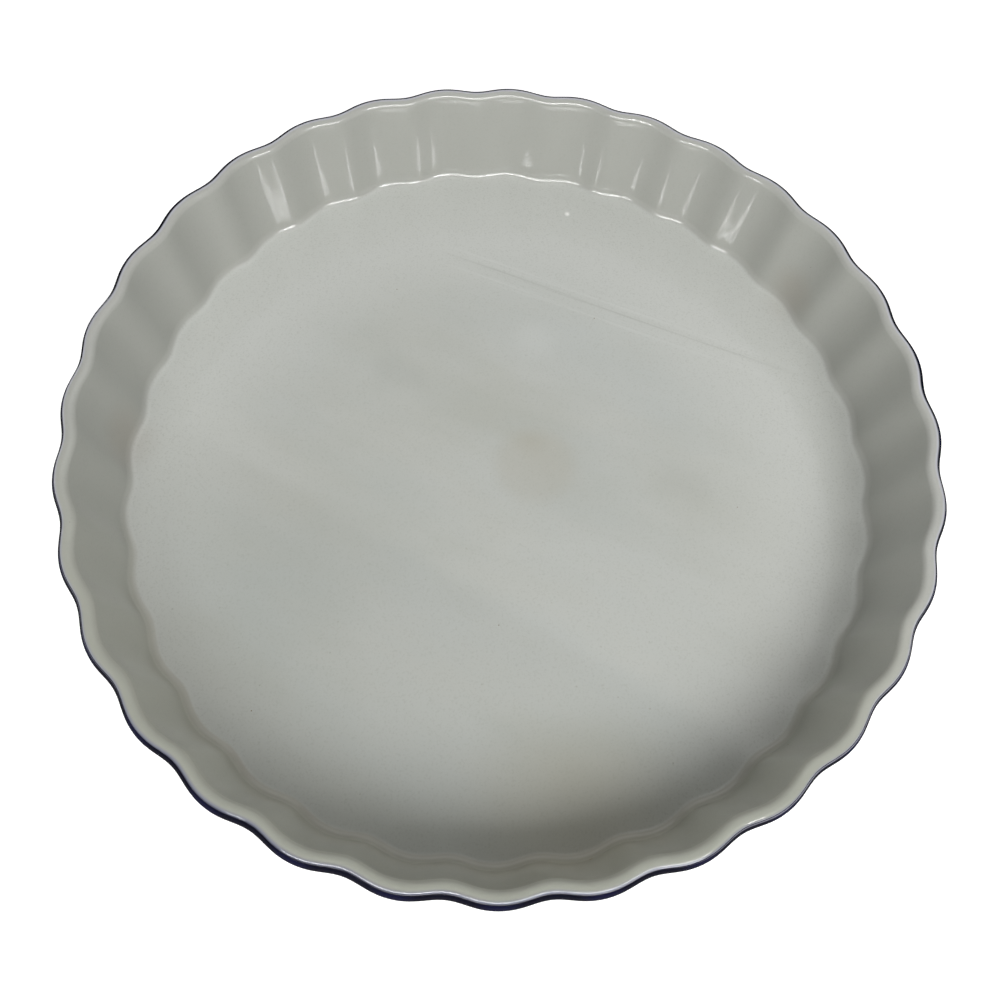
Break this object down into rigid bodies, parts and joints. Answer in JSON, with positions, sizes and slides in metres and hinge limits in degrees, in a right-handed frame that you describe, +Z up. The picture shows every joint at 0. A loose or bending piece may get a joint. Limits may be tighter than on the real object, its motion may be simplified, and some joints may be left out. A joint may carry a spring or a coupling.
{
  "type": "fluted flan dish",
  "caption": "Round shallow stoneware pie dish with fluted upright sides, pale glazed inside, dark glazed outside and a bare foot ring.",
  "frame": {"origin": "middle of the foot ring, on the surface that the dish stands on", "axes": "+Z up out of the open top along the dish's axis; +X and +Y each through the crest of a flute"},
  "size_m": [0.28, 0.28, 0.045],
  "materials": {
    "bare_stoneware": "matt fired clay",
    "pale_glaze": "glossy off-white glaze",
    "navy_glaze": "glossy navy glaze",
    "navy_base_glaze": "glossy navy glaze"
  },
  "bodies": {
    "root": {"stoneware_body": "bare_stoneware", "inner_glaze": "pale_glaze", "outer_glaze": "navy_glaze", "base_glaze": "navy_base_glaze"}
  },
  "joints": []
}
